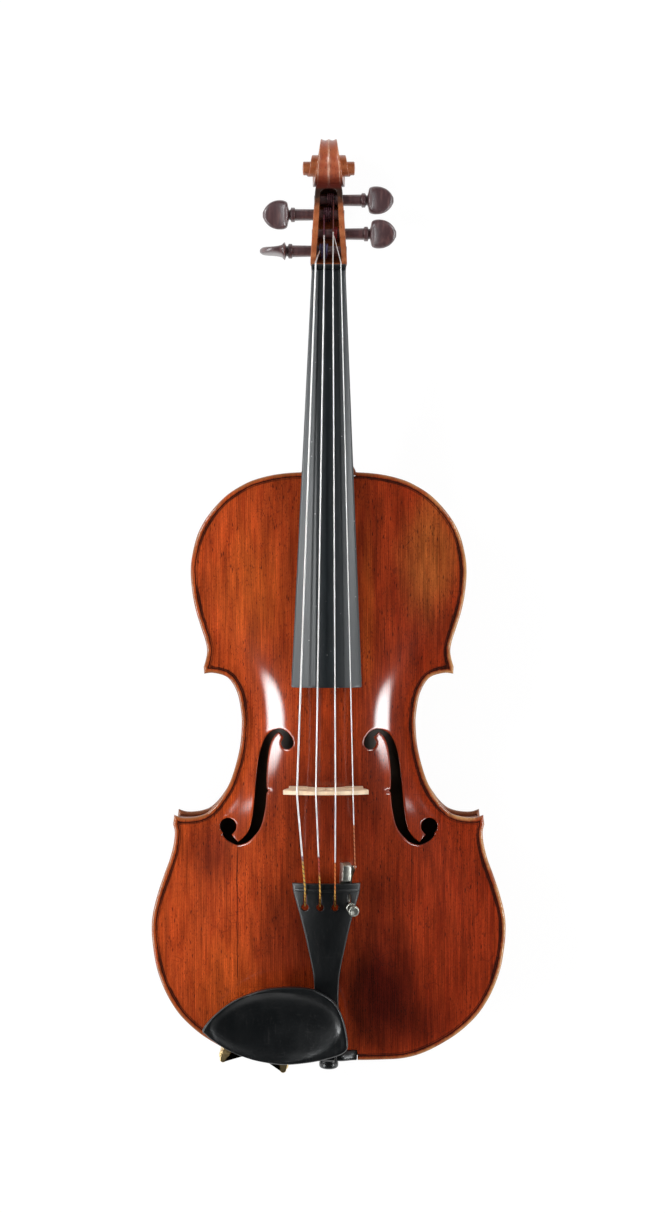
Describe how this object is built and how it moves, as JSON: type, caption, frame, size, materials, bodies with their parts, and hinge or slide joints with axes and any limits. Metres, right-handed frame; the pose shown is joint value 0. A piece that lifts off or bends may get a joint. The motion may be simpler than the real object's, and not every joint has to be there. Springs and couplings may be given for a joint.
{
  "type": "viola",
  "caption": "Full-size viola with arched varnished body, f-holes, carved scroll, wood pegs, bridge, tailpiece with a fine tuner on the top string, and a side chinrest with its clamp.",
  "frame": {"origin": "centre of the bounding box in plan, at the surface that the viola lies on with its back down", "axes": "+Y from the end button to the scroll, +Z out of the belly, +X to the side of the A string"},
  "size_m": [0.2442, 0.6534, 0.112],
  "materials": {
    "belly_varnish": "deep red-brown varnish over fine-grained spruce",
    "maple_varnish": "orange-brown varnish over figured maple",
    "bare_spruce": "unvarnished",
    "ebony": "satin black",
    "rosewood": "polished dark purple-brown",
    "bare_maple": "unvarnished",
    "steel_string": "round-wound steel",
    "silk": "coloured silk wrapping",
    "nickel_metal": "dull nickel plate",
    "gold_metal": "polished",
    "cork": "plain cork sheet",
    "tail_cord": "smooth black cord"
  },
  "bodies": {
    "instrument": {"belly": "belly_varnish", "back": "maple_varnish", "rib_upper_right": "maple_varnish", "rib_upper_left": "maple_varnish", "rib_middle_right": "maple_varnish", "rib_middle_left": "maple_varnish", "rib_lower_right": "maple_varnish", "rib_lower_left": "maple_varnish", "lining_upper_right_top": "bare_spruce", "lining_upper_right_bottom": "bare_spruce", "lining_upper_left_top": "bare_spruce", "lining_upper_left_bottom": "bare_spruce", "lining_middle_right_top": "bare_spruce", "lining_middle_right_bottom": "bare_spruce", "lining_middle_left_top": "bare_spruce", "lining_middle_left_bottom": "bare_spruce", "lining_lower_right_top": "bare_spruce", "lining_lower_right_bottom": "bare_spruce", "lining_lower_left_top": "bare_spruce", "lining_lower_left_bottom": "bare_spruce", "corner_block_upper_right": "bare_spruce", "corner_block_upper_left": "bare_spruce", "corner_block_lower_right": "bare_spruce", "corner_block_lower_left": "bare_spruce", "neck_block": "bare_spruce", "end_block": "bare_spruce", "bass_bar": "bare_spruce", "soundpost": "bare_spruce", "neck": "maple_varnish", "fingerboard": "ebony", "nut": "ebony", "saddle": "ebony", "string_c": "steel_string", "string_g": "steel_string", "string_d": "steel_string", "string_a": "steel_string", "bridge": "bare_maple", "tailpiece": "ebony", "tailpiece_fret": "ebony", "tailgut": "tail_cord", "end_button": "ebony", "tuner_frame": "nickel_metal", "tuner_nut": "nickel_metal", "chinrest_plate": "ebony", "chinrest_bracket": "gold_metal", "chinrest_cork": "cork"},
    "peg_c": {"peg_c": "rosewood", "winding_c": "silk"},
    "peg_g": {"peg_g": "rosewood", "winding_g": "silk"},
    "peg_d": {"peg_d": "rosewood", "winding_d": "silk"},
    "peg_a": {"peg_a": "rosewood", "winding_a": "silk"},
    "tuner_screw": {"tuner_screw": "nickel_metal"},
    "tuner_lever": {"tuner_lever": "nickel_metal"},
    "chinrest_barrel_left": {"chinrest_barrel_left": "gold_metal"},
    "chinrest_barrel_right": {"chinrest_barrel_right": "gold_metal"},
    "chinrest_foot": {"chinrest_foot": "gold_metal", "chinrest_foot_cork": "cork"}
  },
  "joints": [
    {"name": "peg_c_turn", "type": "hinge", "parent": "instrument", "child": "peg_c", "pos_m": [0, 0.2446, 0.041], "axis": [-1, 0, 0], "range_deg": [-900, 45]},
    {"name": "peg_g_turn", "type": "hinge", "parent": "instrument", "child": "peg_g", "pos_m": [0, 0.2719, 0.031], "axis": [-1, 0, 0], "range_deg": [-900, 45]},
    {"name": "peg_d_turn", "type": "hinge", "parent": "instrument", "child": "peg_d", "pos_m": [0, 0.2831, 0.026], "axis": [-1, 0, 0], "range_deg": [-900, 45]},
    {"name": "peg_a_turn", "type": "hinge", "parent": "instrument", "child": "peg_a", "pos_m": [0, 0.2574, 0.0365], "axis": [-1, 0, 0], "range_deg": [-900, 45]},
    {"name": "tuner_screw_turn", "type": "hinge", "parent": "instrument", "child": "tuner_screw", "pos_m": [0.0145, -0.2062, 0.08718], "axis": [-0.2551, 0.1692, -0.952], "range_deg": [0, 1440]},
    {"name": "tuner_lever_turn", "type": "hinge", "parent": "instrument", "child": "tuner_lever", "pos_m": [0.01428, -0.1817, 0.08634], "axis": [0.9659, 0, -0.2588], "range_deg": [0, 4]},
    {"name": "chinrest_barrel_left_turn", "type": "hinge", "parent": "instrument", "child": "chinrest_barrel_left", "pos_m": [-0.0726, -0.3142, 0.038], "axis": [0, 0, 1], "range_deg": [0, 1440]},
    {"name": "chinrest_barrel_right_turn", "type": "hinge", "parent": "instrument", "child": "chinrest_barrel_right", "pos_m": [-0.0313, -0.3214, 0.038], "axis": [0, 0, 1], "range_deg": [0, 1440]},
    {"name": "chinrest_foot_slide", "type": "slide", "parent": "instrument", "child": "chinrest_foot", "axis": [0, 0, -1], "range_m": [0, 0.004]}
  ],
  "couplings": [
    {"joint": "tuner_lever_turn", "follows": "tuner_screw_turn", "ratio": 0.00265},
    {"joint": "chinrest_barrel_left_turn", "follows": "chinrest_foot_slide", "rad_per_m": 6280},
    {"joint": "chinrest_barrel_right_turn", "follows": "chinrest_foot_slide", "rad_per_m": 6280}
  ]
}
